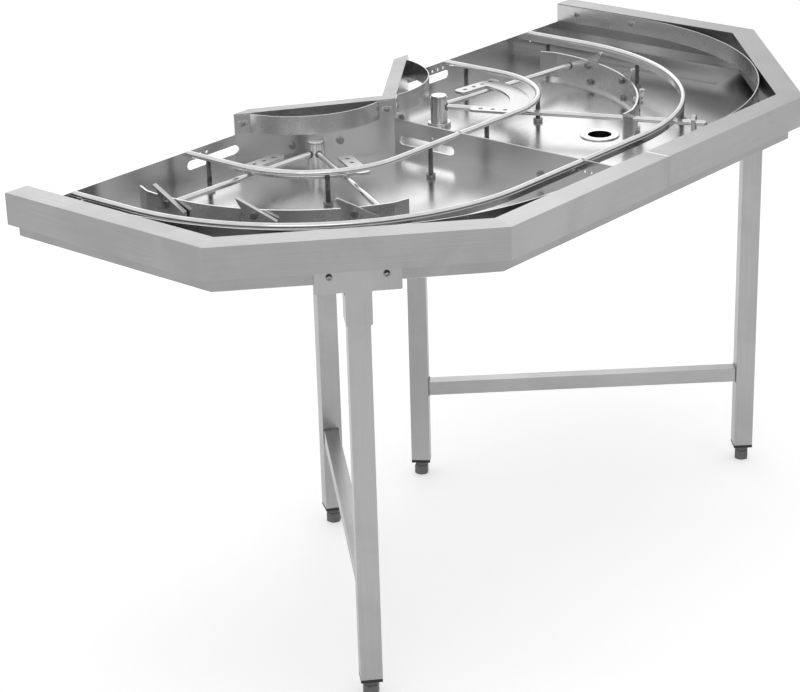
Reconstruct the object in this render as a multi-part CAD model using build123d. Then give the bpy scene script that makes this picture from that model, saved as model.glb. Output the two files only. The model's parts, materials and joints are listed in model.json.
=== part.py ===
from build123d import *
from math import asin, cos, degrees, hypot, radians, sin
from types import SimpleNamespace
import os

os.makedirs("parts", exist_ok=True)

# A half-circle curve of a dish rack conveyor: two stainless basins bolted back to back at a
# partition, each with a pair of slide rails and a swinging carriage that pushes the racks on.
# Millimetres, +Z up. X runs along the open back wall, the chamfered outer side faces -Y, the
# origin is on the floor under the middle of the plan.

# Overall plan, in which each basin is half the width
width = 1700
depth = 840
rim_top = 900
cut_x = 380              # outer corner cut, measured along the back wall
cut_y = 350              # outer corner cut, measured along the side
corner_x = 265           # inner corner wall, measured along the back wall
corner_y = 187           # inner corner wall, measured along the partition

half = width / 2
back = depth / 2
front = -depth / 2

# Sheet metal; every drop is measured down from the rim's top
sheet = 2
rim_width = 50
rim_height = 60
wall_inset = 25          # basin wall, in from the rim's outer face
wall_drop = 42           # top of the back wall and the partition, just under the rails
foot_drop = 88           # where the basin wall turns into the sloping floor
floor_drop = 110
slope_run = 60
flange_width = 25

rim_low = rim_top - rim_height
wall_top = rim_top - wall_drop
wall_foot = rim_top - foot_drop
floor_top = rim_top - floor_drop

# Rails, as straight ends and a quarter turn around the carriage's pivot
pivot_side = 635         # pivot, in from the basin's side wall
pivot_back = 146         # pivot, in from the back wall
rail_radius = 6
rail_drop = 40
outer_turn = 500
inner_turn = 205
web_thick = 4
web_height = 10
post_radius = 5
post_below = 12
nut_flats = 17
nut_height = 8
post_clear = 0.2
inner_post_turn = 228    # seat of the middle inner post on the turn, in degrees
outer_post_turns = (200, 232)
back_post_inset = 55     # first posts, in from the back wall
end_post_x = 88          # last inner post, from the partition

pivot_x = half - wall_inset - pivot_side
pivot_y = back - pivot_back
rail_top = rim_top - rail_drop
inner_rail_x = pivot_x + inner_turn
inner_rail_y = pivot_y - inner_turn

# Openings in the back wall and the partition, placed from the rails
slot_length = 140
slot_height = 18
back_slot_shift = 65     # middle of the slot, from the inner rail
back_slot_drop = 71
part_slot_shift = 81
part_slot_drop = 83
hole_radius = 3
hole_pitch = 18
back_holes_shift = 31    # middle of the row of three holes, from the inner rail
back_holes_drop = 55
part_holes_shift = 47
part_holes_drop = 64
outer_hole_pitch = 15
outer_hole_drop = 64
back_outer_shift = 13    # middle of the pair of holes, outside the outer rail
part_outer_shift = 15

# Rack guides
guide_gap = 1            # between the strip's turn and the rim's cut corner
guide_lift = 1           # over the rails
guide_end_x = 130
bow_rise = 56
tab_length = 26
screw_radius = 3
screw_head = 5.5
screw_head_height = 3.5
screw_nut_flats = 10
screw_nut_height = 5
guide_screw_insets = (55, 204)   # in from the back wall
guide_screw_xs = (215, 150)      # from the partition
guide_screw_drop = 18
screw_play = 0.1

guide_bottom = rail_top + guide_lift
guide_top = rim_top - sheet
guide_screw_z = rim_top - guide_screw_drop

# Carriage
stud_radius = 10
running_gap = 0.05
collar_radius = 24
collar_height = 8
sleeve_radius = 17.5
sleeve_above = 20        # above the arms' middle
cap_gap = 0.4
cap_height = 4
cap_round = 1.5
arm_radius = 6
arm_drop = 70
arm_spread = 62
arm_reach = 553          # end of the long arm that passes under the outer rail
plate_thick = 5
band_inner = 147
band_outer = 187
wing_width = 30
wing_start = 76
wing_end = 193
wing_offset_near = 19
wing_offset_far = 31
wing_hole_radius = 4.5
wing_hole_start = 98
wing_hole_pitch = 26
wing_hole_count = 4
wing_round = 12
carrier_outer = 410
carrier_thick = 4
carrier_below = 32       # below the arms' middle
carrier_above = 22
carrier_before = 6       # carrier before the first arm, in degrees
carrier_after = 1.5      # and past the second one
end_length = 34
end_bend = 16
striker_reach = 532
striker_width = 22
striker_thick = 8
striker_below = 26
striker_above = 16

arm_z = rim_top - arm_drop
sleeve_top = arm_z + sleeve_above
carrier_bottom = arm_z - carrier_below
carrier_top = arm_z + carrier_above
striker_bottom = arm_z - striker_below
striker_top = arm_z + striker_above

# Pawls, drawn around their pivot bolt and seen from outside
pawl_above = 11
pawl_thick = 3
pawl_round = 4
pawl_flange = 10
side_gap = 0.2
washer_thick = 1
washer_radius = 7.5
bolt_radius = 4
bolt_head_flats = 13
bolt_head_height = 5
bolt_nut_height = 6
bolt_tail = 2
bolt_play = 0.2
nut_gap = 0.35
tip = (-34, 30)
ramp_start = (-30, 34)
ramp_end = (44, -6)
tail_drop = 10
lobe_bottom = -40
lobe_right = 28
lobe_left = -4.6
belly = (-17, -13)
neck = (-20, 5)
stop_t = -9
stop_drop = 35

pawl_pivot_z = arm_z + pawl_above

# Legs
tube = 40
tube_wall = 2
leg_bottom = 38
sleeve_tube = 46
socket_gap = 2           # under the basin's floor
socket_length = 53
leg_gap = 3              # leg's end, below the socket's
bracket_thick = 4
bracket_width = 150
bracket_height = 43
bracket_gap = 2          # under the rim
bracket_round = 3
bracket_bolt_spacing = 98
bracket_bolt_drop = 13   # from the bracket's top
bar = 30
bar_wall = 2
bar_z = 205

socket_top = floor_top - sheet - socket_gap
socket_bottom = socket_top - socket_length
leg_top = socket_top - leg_gap
bracket_top = rim_low - bracket_gap
bracket_bottom = bracket_top - bracket_height
bracket_bolt_z = bracket_top - bracket_bolt_drop

# Plastic plugs and feet
insert_flange = 6
insert_depth = 20
insert_gap = 0.1
stem_radius = 6
stem_top = 74
foot_radius = 16
foot_pad = 8
foot_waist = 11
foot_neck = 30
foot_hex = 24

# Partition bolts and the drain
joint_bolt_insets = (290, 160, 80)   # in from the outer side
joint_bolt_drop = 88
joint_play = 0.1
drain_x = 320
drain_inset = 380        # in from the outer side
drain_flange_radius = 40
drain_flange_height = 3
drain_round = 2
drain_bore = 24
drain_thread = 28
drain_thread_length = 22
drain_spigot = 26
drain_length = 55
drain_nut_flats = 70
drain_nut_height = 12
drain_play = 0.5

joint_bolt_ys = [front + inset for inset in joint_bolt_insets]
joint_bolt_z = rim_top - joint_bolt_drop
drain_y = front + drain_inset

left = SimpleNamespace(name="left", sign=-1, first_arm=178.5, turn=1, pawls=(3, 28, 53), long_arm=False)
right = SimpleNamespace(name="right", sign=1, first_arm=-5.5, turn=-1, pawls=(8, 28, 49), long_arm=True)


# Plan outlines of the left basin, anticlockwise

def inset(points, distances):
    """Move each edge of an anticlockwise outline inwards by its own distance."""
    lines = []
    for (x0, y0), (x1, y1), d in zip(points, points[1:] + points[:1], distances):
        length = hypot(x1 - x0, y1 - y0)
        ux, uy = (x1 - x0) / length, (y1 - y0) / length
        lines.append((x0 - uy * d, y0 + ux * d, ux, uy))
    moved = []
    for (x0, y0, ux, uy), (x1, y1, vx, vy) in zip(lines[-1:] + lines[:-1], lines):
        t = ((x1 - x0) * vy - (y1 - y0) * vx) / (ux * vy - uy * vx)
        moved.append((x0 + ux * t, y0 + uy * t))
    return moved


rim_plan = [(-half, back), (-half, front + cut_y), (-half + cut_x, front), (0, front), (0, back)]
corner_back = (-corner_x, back)
corner_front = (0, back - corner_y)
basin_plan = rim_plan[:4] + [corner_front, corner_back]


def basin_outline(extra=0, slope=0):
    """Basin wall's outline; extra goes in from all its faces, slope only from the outer three."""
    outer = wall_inset + extra + slope
    return inset(basin_plan, [outer, outer, outer, extra, extra, extra])


def rim_outline(d):
    return inset(rim_plan, [d, d, d, sheet, sheet])


# Small helpers

def slab(points, bottom, top):
    return Pos(0, 0, bottom) * extrude(make_face(Polyline(*points, close=True)), top - bottom)


def block(x0, x1, y0, y1, z0, z1):
    return Pos((x0 + x1) / 2, (y0 + y1) / 2, (z0 + z1) / 2) * Box(x1 - x0, y1 - y0, z1 - z0)


def rod(plane, radius, start, end):
    """Round bar along a plane's normal, from start to end above it."""
    return plane * Pos(0, 0, start) * Cylinder(radius, end - start, align=(Align.CENTER, Align.CENTER, Align.MIN))


def hexagon(plane, flats, start, end):
    return plane * Pos(0, 0, start) * extrude(RegularPolygon(flats / 2, 6, major_radius=False), end - start)


def ring(centre, inner, outer, start, end, bottom, top):
    """Part of an upright ring between two angles, in degrees."""
    size = end - start
    arcs = [CenterArc((0, 0, 0), inner, start, size), CenterArc((0, 0, 0), outer, start, size)]
    ends = [Line(arcs[0] @ k, arcs[1] @ k) for k in (0, 1)]
    return Pos(centre[0], centre[1], bottom) * extrude(make_face(arcs + ends), top - bottom)


def on_side(side, shape):
    """Pieces are drawn for the left basin and mirrored for the right one."""
    return shape if side is left else mirror(shape, Plane.YZ)


def face_frame(point, outward, height=0):
    """Upright plane on a wall: X runs along the wall, Y is up and Z points outward."""
    nx, ny = outward
    return Plane(origin=(point[0], point[1], height), x_dir=(-ny, nx, 0), z_dir=(nx, ny, 0))


def floor_frame(frame):
    """Plane on the floor at the foot of a wall's frame, with Y pointing outward."""
    return Plane(origin=(frame.origin.X, frame.origin.Y, 0), x_dir=-frame.x_dir, z_dir=(0, 0, 1))


def unit(x, y):
    return (x / hypot(x, y), y / hypot(x, y))


# Walls that carry the legs and guides, as middle point and outward direction

cut_out = unit(-cut_y, -cut_x)
cut_middle = (-half + cut_x / 2 - cut_out[0] * wall_inset, front + cut_y / 2 - cut_out[1] * wall_inset)
corner_out = unit(corner_y, corner_x)
corner_middle = (-corner_x / 2, back - corner_y / 2)
corner_length = hypot(corner_x, corner_y)


def bracket_frames():
    return [face_frame(corner_middle, corner_out), face_frame(cut_middle, cut_out)]


def corner_frame():
    """On the basin side of the inner corner wall."""
    d = -sheet
    point = (corner_middle[0] + corner_out[0] * d, corner_middle[1] + corner_out[1] * d)
    return face_frame(point, (-corner_out[0], -corner_out[1]))


def holes(plane, radius, positions, length=40):
    return [rod(plane * Pos(x, y, 0), radius, -length / 2, length / 2) for x, y in positions]


def bracket_bolt_places():
    return [(s * bracket_bolt_spacing / 2, bracket_bolt_z) for s in (-1, 1)]


def guard_screw_places():
    return [(s * (corner_length / 2 - 16), (guide_bottom + guide_top) / 2) for s in (-1, 1)]


# Basin: walls, sloping floor, back wall, partition and inner corner wall

def basin_solid(extra, floor, top):
    rim_line = basin_outline(extra)
    low_line = basin_outline(extra, slope_run)
    upper = slab(rim_line, wall_foot, top)
    faces = [Pos(0, 0, z) * make_face(Polyline(*line, close=True))
             for z, line in ((floor, low_line), (wall_foot, rim_line))]
    return upper + loft(faces, ruled=True)


def wall_openings():
    """Link slot, its row of three holes and the two outer holes, for both end walls."""
    back_plane = Plane.XZ.offset(-back)
    side_plane = Plane.YZ
    slot = SlotOverall(slot_length, slot_height)
    back_slot = (-inner_rail_x + back_slot_shift, rim_top - back_slot_drop)
    part_slot = (inner_rail_y + part_slot_shift, rim_top - part_slot_drop)
    cuts = [extrude(back_plane * Pos(*back_slot) * slot, 20, both=True),
            extrude(side_plane * Pos(*part_slot) * slot, 20, both=True)]
    for step in (-1, 0, 1):
        x = -inner_rail_x + back_holes_shift + step * hole_pitch
        y = inner_rail_y + part_holes_shift + step * hole_pitch
        cuts += holes(back_plane, hole_radius, [(x, rim_top - back_holes_drop)])
        cuts += holes(side_plane, hole_radius, [(y, rim_top - part_holes_drop)])
    for step in (-0.5, 0.5):
        x = -pivot_x - outer_turn - back_outer_shift + step * outer_hole_pitch
        y = pivot_y - outer_turn - part_outer_shift + step * outer_hole_pitch
        cuts += holes(back_plane, hole_radius, [(x, rim_top - outer_hole_drop)])
        cuts += holes(side_plane, hole_radius, [(y, rim_top - outer_hole_drop)])
    return cuts


def basin(side):
    shape = basin_solid(0, floor_top - sheet, rim_top - sheet)
    shape -= basin_solid(sheet, floor_top, rim_top + 10)
    # Racks pass over the back wall and the partition
    shape -= block(-half, -corner_x, back - sheet, back, wall_top, rim_top)
    shape -= block(-sheet, 0, front, back - corner_y, wall_top, rim_top)
    # Ears that close the rim's two ends
    shape += block(-half, -half + rim_width, back - sheet, back, rim_low, rim_top)
    shape += block(-sheet, 0, front, front + rim_width, rim_low, rim_top)
    # Corner wall up to the rim's height, with its folded flange over the empty corner
    corner = [corner_back, corner_front, (0, back)]
    shape += slab(corner, rim_top - sheet, rim_top) - slab(inset(corner, [flange_width, 0, 0]), 0, rim_top + 1)
    shape += slab(corner_strip(), wall_top, rim_top)
    cuts = wall_openings()
    for frame in bracket_frames():
        cuts += holes(frame, bolt_radius + bolt_play, bracket_bolt_places())
    cuts += holes(corner_frame(), screw_radius + screw_play, guard_screw_places())
    cuts += [rod(Plane((x, y, floor_top)), post_radius + post_clear, -10, 10) for x, y, top in post_places()]
    cuts += holes(Plane.YZ, bolt_radius + joint_play, [(y, joint_bolt_z) for y in joint_bolt_ys])
    if side is right:
        cuts += [rod(Plane((-drain_x, drain_y, floor_top)), drain_thread + drain_play, -20, 20)]
    for cut in cuts:
        shape -= cut
    return on_side(side, shape)


def corner_strip():
    """Plan of the inner corner wall's own thickness."""
    inner = basin_outline(sheet)
    return [corner_back, inner[5], inner[4], corner_front]


# Raised rim: a folded channel, open below

def rim(side):
    shape = slab(rim_outline(0), rim_low, rim_top) - slab(rim_outline(rim_width), rim_low - 1, rim_top + 1)
    under = slab(rim_outline(sheet), rim_low - 1, rim_top - sheet)
    shape -= under - slab(rim_outline(rim_width - sheet), rim_low - 2, rim_top)
    for plane, x in guide_screw_frames():
        shape -= rod(plane * Pos(x, guide_screw_z, 0), screw_radius + screw_play, -rim_width / 2, 5)
    return on_side(side, shape)


def guide_screw_frames():
    """Rim's inner faces on the side and at the front, with the screw places along them."""
    side_face = face_frame((-half + rim_width, 0), (1, 0))
    front_face = face_frame((0, front + rim_width), (0, 1))
    return [(side_face, back - y) for y in guide_screw_insets] + [(front_face, x) for x in guide_screw_xs]


# Rack guides

def guide_turn():
    """Turn that touches the rim's side and front and just clears its cut corner."""
    nx, ny = -cut_out[0], -cut_out[1]
    px, py = rim_outline(rim_width)[1]
    corner_distance = nx * (-half + rim_width - px) + ny * (front + rim_width - py)
    return (guide_gap - corner_distance) / (nx + ny - 1)


def outer_guide(side):
    """Thin strip inside the rim that leads the racks round the outside."""
    x, y = -half + rim_width, front + rim_width
    turn = guide_turn()
    centre = (x + turn, y + turn)
    shape = ring(centre, turn - sheet, turn, 180, 270, guide_bottom, guide_top)
    shape += block(x, x + sheet, centre[1], back - sheet, guide_bottom, guide_top)
    shape += block(centre[0], -guide_end_x, y, y + sheet, guide_bottom, guide_top)
    for plane, along in guide_screw_frames():
        shape -= rod(plane * Pos(along, guide_screw_z, 0), screw_radius + screw_play, -5, 5)
    return on_side(side, shape)


def rack_guard(side):
    """Bowed strip on the inner corner wall that the racks turn around."""
    reach = corner_length / 2 - 4
    chord = reach - tab_length
    radius = (chord ** 2 + bow_rise ** 2) / (2 * bow_rise)
    sweep = degrees(asin(chord / radius))
    plan = floor_frame(corner_frame())
    centre = (0, bow_rise - radius)
    bow = ring(centre, radius - sheet, radius, 90 - sweep, 90 + sweep, guide_bottom, guide_top)
    bow -= block(-reach, reach, -radius, 0, 0, rim_top)
    for s in (-1, 1):
        x0, x1 = sorted((s * (chord - 1.5), s * reach))
        bow += block(x0, x1, 0, sheet, guide_bottom, guide_top)
    shape = plan * bow
    for cut in holes(corner_frame(), screw_radius + screw_play, guard_screw_places()):
        shape -= cut
    return on_side(side, shape)


def screw(plane, head_at, tip_at):
    """Pan head screw with its head above head_at, as one solid."""
    return rod(plane, screw_head, head_at, head_at + screw_head_height) + rod(plane, screw_radius, tip_at, head_at)


def screw_nut(plane, top):
    nut = hexagon(plane, screw_nut_flats, top - screw_nut_height, top)
    return nut - rod(plane, screw_radius, top - 20, top + 1)


def guide_screws(side):
    solids = []
    for plane, along in guide_screw_frames():
        at = plane * Pos(along, guide_screw_z, 0)
        solids += [screw(at, sheet, -sheet - 8), screw_nut(at, -sheet)]
    for x, z in guard_screw_places():
        at = corner_frame() * Pos(x, z, 0)
        solids += [screw(at, sheet, -sheet - 8), screw_nut(at, -sheet)]
    return [on_side(side, s) for s in solids]


# Slide rails and their posts

def rail_path(turn_radius):
    z = rail_top - rail_radius
    x, y = -pivot_x, pivot_y
    first = Line((x - turn_radius, back - sheet, z), (x - turn_radius, y, z))
    turn = CenterArc((x, y, z), turn_radius, 180, 90)
    last = Line((x, y - turn_radius, z), (-sheet, y - turn_radius, z))
    return Wire([first, turn, last])


def rail(turn_radius):
    path = rail_path(turn_radius)
    return sweep(Plane(path @ 0, z_dir=path % 0) * Circle(rail_radius), path=path)


def outer_rail(side):
    """Round bar with a flat bar welded under it."""
    low = rail_top - 2 * rail_radius - web_height
    high = rail_top - rail_radius
    x, y, r = -pivot_x, pivot_y, outer_turn
    h = web_thick / 2
    shape = rail(r) + ring((x, y), r - h, r + h, 180, 270, low, high)
    shape += block(x - r - h, x - r + h, y, back - sheet, low, high)
    shape += block(x, -sheet, y - r - h, y - r + h, low, high)
    return on_side(side, shape)


def inner_rail(side):
    return on_side(side, rail(inner_turn))


def turn_point(radius, angle):
    return (-pivot_x + radius * cos(radians(angle)), pivot_y + radius * sin(radians(angle)))


def post_places():
    """Plan places of the rail posts and the height that each one reaches."""
    inner_top = rail_top - 2 * rail_radius
    outer_top = inner_top - web_height
    first_y = back - back_post_inset
    inner = [(-pivot_x - inner_turn, first_y), turn_point(inner_turn, inner_post_turn),
             (-end_post_x, pivot_y - inner_turn)]
    outer = [(-pivot_x - outer_turn, first_y)] + [turn_point(outer_turn, a) for a in outer_post_turns]
    return [(x, y, inner_top) for x, y in inner] + [(x, y, outer_top) for x, y in outer]


def rail_posts(side):
    low = floor_top - sheet - post_below
    return [on_side(side, rod(Plane((x, y, 0)), post_radius, low, top)) for x, y, top in post_places()]


def rail_post_nuts(side):
    nuts = []
    for x, y, _ in post_places():
        for low in (floor_top, floor_top - sheet - nut_height):
            nut = hexagon(Plane((x, y, 0)), nut_flats, low, low + nut_height)
            nuts.append(on_side(side, nut - rod(Plane((x, y, 0)), post_radius, low - 1, low + nut_height + 1)))
    return nuts


# Carriage, placed by angles around its pivot

def pivot_plane(side, height=0):
    return Plane((side.sign * pivot_x, pivot_y, height))


def radial_plane(side, offset, radius, height):
    """Plane at an angle past the first arm: X runs round the pivot, Y is up, Z points outward."""
    a = radians(side.first_arm + side.turn * offset)
    point = (side.sign * pivot_x + radius * cos(a), pivot_y + radius * sin(a))
    return face_frame(point, (cos(a), sin(a)), height)


def swing(side, start, end):
    """Start and end angle of a stretch that is given as offsets from the first arm."""
    return sorted(side.first_arm + side.turn * offset for offset in (start, end))


def around_pivot(side, inner, outer, start, end, bottom, top):
    centre = (side.sign * pivot_x, pivot_y)
    a, b = swing(side, start, end)
    return ring(centre, inner, outer, a, b, bottom, top)


def pivot_post(side):
    """Stud with its base collar, and the cap that keeps the sleeve on it."""
    plane = pivot_plane(side)
    stud = rod(plane, collar_radius, floor_top, floor_top + collar_height)
    cap_bottom = sleeve_top + cap_gap
    stud += rod(plane, stud_radius, floor_top + collar_height, cap_bottom)
    cap = fillet(rod(plane, sleeve_radius - 1, cap_bottom, cap_bottom + cap_height).edges().group_by(Axis.Z)[-1], cap_round)
    return [stud, cap]


def carriage_hub(side):
    plane = pivot_plane(side)
    low = floor_top + collar_height + cap_gap
    return rod(plane, sleeve_radius, low, sleeve_top) - rod(plane, stud_radius + running_gap, low - 1, sleeve_top + 1)


def carriage_arms(side):
    sleeve = rod(pivot_plane(side), sleeve_radius, 0, rim_top)
    inner_face = carrier_outer - carrier_thick
    arms = []
    for number, offset in enumerate((0, arm_spread)):
        plane = radial_plane(side, offset, 0, arm_z)
        if number == 1 and side.long_arm:
            arm = rod(plane, arm_radius, 0, arm_reach) + plane * Pos(0, 0, arm_reach) * Sphere(arm_radius)
        else:
            arm = rod(plane, arm_radius, 0, inner_face + 1)
            arm -= around_pivot(side, inner_face, carrier_outer, offset - 10, offset + 10, 0, rim_top)
        arms.append(arm - sleeve)
    return arms


def wing(side, offset, shift):
    """Flat ear of the link plate beside an arm, with its row of holes."""
    length = wing_end - wing_start
    plane = radial_plane(side, offset, 0, arm_z + arm_radius)
    x = side.turn * shift
    ear = plane * Pos(x, plate_thick / 2, wing_start + length / 2) * Box(wing_width, plate_thick, length)
    ear = fillet(ear.edges().filter_by(Axis.Z), wing_round)
    for k in range(wing_hole_count):
        centre = plane * Pos(x, 0, wing_hole_start + k * wing_hole_pitch)
        ear -= rod(centre * Rot(X=-90), wing_hole_radius, -1, plate_thick + 1)
    return ear


def link_plate(side):
    bottom = arm_z + arm_radius
    shape = around_pivot(side, band_inner, band_outer, -9, arm_spread + 12, bottom, bottom + plate_thick)
    ears = [wing(side, 0, -wing_offset_near), wing(side, arm_spread, wing_offset_far)]
    for offset, shift in ((0, -wing_offset_near), (arm_spread, wing_offset_far)):
        for k in range(wing_hole_count):
            centre = radial_plane(side, offset, 0, bottom) * Pos(side.turn * shift, 0, wing_hole_start + k * wing_hole_pitch)
            shape -= rod(centre * Rot(X=-90), wing_hole_radius, -1, plate_thick + 1)
    return shape + ears[0] + ears[1]


def carrier_end(side, offset, direction):
    """Straight end of the carrier, bent in towards the pivot."""
    middle = carrier_outer - carrier_thick / 2
    plane = radial_plane(side, offset, middle, (carrier_bottom + carrier_top) / 2)
    s = side.turn * direction
    plate = Pos(s * (end_length / 2 - 0.4), 0, 0) * Box(end_length, carrier_top - carrier_bottom, carrier_thick)
    return plane * Rot(Y=s * end_bend) * plate


def carrier(side):
    """Upright curved plate that the pawls hang on."""
    inner = carrier_outer - carrier_thick
    start, end = -carrier_before, arm_spread + carrier_after
    shape = around_pivot(side, inner, carrier_outer, start, end, carrier_bottom, carrier_top)
    shape += carrier_end(side, start, -1) + carrier_end(side, end, 1)
    for offset in side.pawls:
        plane = pawl_plane(side, offset)
        shape -= rod(plane, bolt_radius, -20, 20)
        shape -= rod(plane * Pos(stop_t, -stop_drop, 0), bolt_radius, -20, 20)
    if side.long_arm:
        shape -= rod(radial_plane(side, arm_spread, 0, arm_z), arm_radius, 0, arm_reach)
    return shape


def striker(side):
    """Lever on the end of the long arm, outside the outer rail."""
    height = striker_top - striker_bottom
    plane = radial_plane(side, arm_spread, striker_reach, (striker_top + striker_bottom) / 2)
    shape = plane * extrude(SlotOverall(height, striker_width, rotation=90), striker_thick / 2, both=True)
    return shape - rod(radial_plane(side, arm_spread, 0, arm_z), arm_radius, 0, arm_reach)


# Pawls and what holds them; every pawl leans the way the racks travel, clockwise from above

def pawl_plane(side, offset):
    """On the carrier's outer face, at a pawl's pivot bolt."""
    return radial_plane(side, offset, carrier_outer, pawl_pivot_z)


def pawl(side, offset):
    start = washer_thick + side_gap
    tail = (ramp_end[0], ramp_end[1] - tail_drop)
    corners = [tip, ramp_start, ramp_end, tail, (lobe_right, lobe_bottom), (lobe_left, lobe_bottom),
               (lobe_left, belly[1] - 9), belly, neck]
    outline = make_face(Polyline(*corners, close=True))
    rounded = [v for v in outline.vertices() if v.Y < ramp_end[1] - 1 and v.X > lobe_left - 1 and v.Y != belly[1]]
    outline = fillet(rounded, pawl_round)
    plate = extrude(outline, pawl_thick)
    dx, dy = unit(ramp_end[0] - ramp_start[0], ramp_end[1] - ramp_start[1])
    lip = [ramp_start, ramp_end, (ramp_end[0] + dy * pawl_thick, ramp_end[1] - dx * pawl_thick),
           (ramp_start[0] + dy * pawl_thick, ramp_start[1] - dx * pawl_thick)]
    plate += extrude(make_face(Polyline(*lip, close=True)), pawl_flange)
    plate -= Cylinder(bolt_radius + running_gap, 40)
    return pawl_plane(side, offset) * Pos(0, 0, start) * plate


def pawl_bolts(side):
    """For each pawl its pivot bolt, its washer and the stop pin under it."""
    solids = []
    inside = -carrier_thick - bolt_nut_height - bolt_tail
    head = washer_thick + 2 * side_gap + pawl_thick
    for offset in side.pawls:
        plane = pawl_plane(side, offset)
        bolt = rod(plane, bolt_radius, inside, head) + hexagon(plane, bolt_head_flats, head, head + bolt_head_height)
        washer = rod(plane, washer_radius, 0, washer_thick) - rod(plane, bolt_radius, -1, washer_thick + 1)
        stop = rod(plane * Pos(stop_t, -stop_drop, 0), bolt_radius, inside, head)
        solids += [bolt, washer, stop]
    return solids


def pawl_nuts(side):
    nuts = []
    for offset in side.pawls:
        for shift in (0, 1):
            plane = pawl_plane(side, offset) * Pos(shift * stop_t, -shift * stop_drop, 0)
            top = -carrier_thick - nut_gap
            nut = hexagon(plane, bolt_head_flats, top - bolt_nut_height, top)
            nuts.append(nut - rod(plane, bolt_radius, -30, 5))
    return nuts


# Legs, crossbars and feet; the frame of a leg is its bracket's

leg_shift = -sleeve_tube / 2


def leg_axis(frame):
    """Upright plane on the floor under a leg, turned like its bracket."""
    point = frame.origin + frame.z_dir * leg_shift
    return Plane(origin=(point.X, point.Y, 0), x_dir=frame.x_dir, z_dir=(0, 0, 1))


def square_tube(size, wall, low, high):
    middle, length = (low + high) / 2, high - low
    return Pos(0, 0, middle) * (Box(size, size, length) - Box(size - 2 * wall, size - 2 * wall, length + 2))


def leg(side, number):
    axis = leg_axis(bracket_frames()[number])
    return on_side(side, axis * square_tube(tube, tube_wall, leg_bottom, leg_top))


def crossbar(side):
    ends = [leg_axis(frame) for frame in bracket_frames()]
    (x0, y0), (x1, y1) = [(end.origin.X, end.origin.Y) for end in ends]
    direction = unit(x1 - x0, y1 - y0)
    plane = face_frame((x0, y0), direction, bar_z)
    shape = plane * square_tube(bar, bar_wall, 0, hypot(x1 - x0, y1 - y0))
    for end in ends:
        shape -= end * Pos(0, 0, bar_z) * Box(tube, tube, 2 * bar)
    return on_side(side, shape)


def leg_bracket(frame):
    """Plate bolted to a basin wall, with the socket that the leg's top stands in."""
    plate = frame * block(-bracket_width / 2, bracket_width / 2, bracket_bottom, bracket_top, 0, bracket_thick)
    half_tube = sleeve_tube / 2
    plate += frame * block(-half_tube, half_tube, socket_bottom, bracket_bottom, 0, bracket_thick)
    plate = fillet(plate.edges().filter_by(Axis((0, 0, 0), tuple(frame.z_dir))), bracket_round)
    for cut in holes(frame, bolt_radius + bolt_play, bracket_bolt_places()):
        plate -= cut
    socket = leg_axis(frame) * square_tube(sleeve_tube, (sleeve_tube - tube) / 2, socket_bottom, socket_top)
    return plate + socket


def leg_brackets(side):
    return [on_side(side, leg_bracket(frame)) for frame in bracket_frames()]


def hex_bolt(plane, head_at, tip_at):
    shank = rod(plane, bolt_radius, min(head_at, tip_at), max(head_at, tip_at))
    out = 1 if head_at > tip_at else -1
    low, high = sorted((head_at, head_at + out * bolt_head_height))
    return shank + hexagon(plane, bolt_head_flats, low, high)


def hex_nut(plane, low):
    nut = hexagon(plane, bolt_head_flats, low, low + bolt_nut_height)
    return nut - rod(plane, bolt_radius, low - 1, low + bolt_nut_height + 1)


def bracket_bolts(side):
    solids = []
    for frame in bracket_frames():
        for x, z in bracket_bolt_places():
            plane = frame * Pos(x, z, 0)
            inner = -sheet - bolt_nut_height
            solids += [hex_bolt(plane, bracket_thick, inner - bolt_tail), hex_nut(plane, inner)]
    return [on_side(side, s) for s in solids]


def foot_insert(frame):
    """Plastic plug in the end of a leg, with the foot's thread through it."""
    inside = tube - 2 * tube_wall - 2 * insert_gap
    axis = leg_axis(frame)
    plug = Pos(0, 0, leg_bottom - insert_flange / 2) * Box(tube, tube, insert_flange)
    plug += Pos(0, 0, leg_bottom + insert_depth / 2) * Box(inside, inside, insert_depth)
    return axis * plug - rod(axis, stem_radius + running_gap, 0, leg_bottom + insert_depth + 1)


def foot_inserts(side):
    return [on_side(side, foot_insert(frame)) for frame in bracket_frames()]


def foot(side, number):
    """Adjustable foot: pad, tapered waist, hexagon and threaded stem."""
    axis = leg_axis(bracket_frames()[number])
    waist_top = foot_neck - 8
    profile = [(0, 0), (foot_radius - 1, 0), (foot_radius, 1), (foot_radius, foot_pad), (foot_waist, waist_top), (0, waist_top)]
    body = revolve(Plane.XZ * make_face(Polyline(*profile, close=True)), Axis.Z)
    body += hexagon(Plane.XY, foot_hex, waist_top, foot_neck)
    body += rod(Plane.XY, stem_radius, foot_neck, stem_top)
    return on_side(side, axis * body)


# Partition bolts and drain

def partition_bolts():
    solids = []
    for y in joint_bolt_ys:
        plane = Plane.YZ * Pos(y, joint_bolt_z, 0)
        solids += [hex_bolt(plane, -sheet, sheet + bolt_nut_height + bolt_tail), hex_nut(plane, sheet)]
    return solids


def drain_flange():
    """Flange, threaded body that the nut holds and the smaller spigot for the waste hose."""
    plane = Plane((drain_x, drain_y, 0))
    shape = rod(plane, drain_flange_radius, floor_top, floor_top + drain_flange_height)
    shape = fillet(shape.edges().group_by(Axis.Z)[-1], drain_round)
    shape += rod(plane, drain_thread, floor_top - drain_thread_length, floor_top + 1)
    shape += rod(plane, drain_spigot, floor_top - drain_length, floor_top)
    return shape - rod(plane, drain_bore, 0, rim_top)


def drain_nut():
    plane = Plane((drain_x, drain_y, 0))
    top = floor_top - sheet
    nut = hexagon(plane, drain_nut_flats, top - drain_nut_height, top)
    return nut - rod(plane, drain_thread, 0, rim_top)


# Every sub-part goes to its own file

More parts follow.
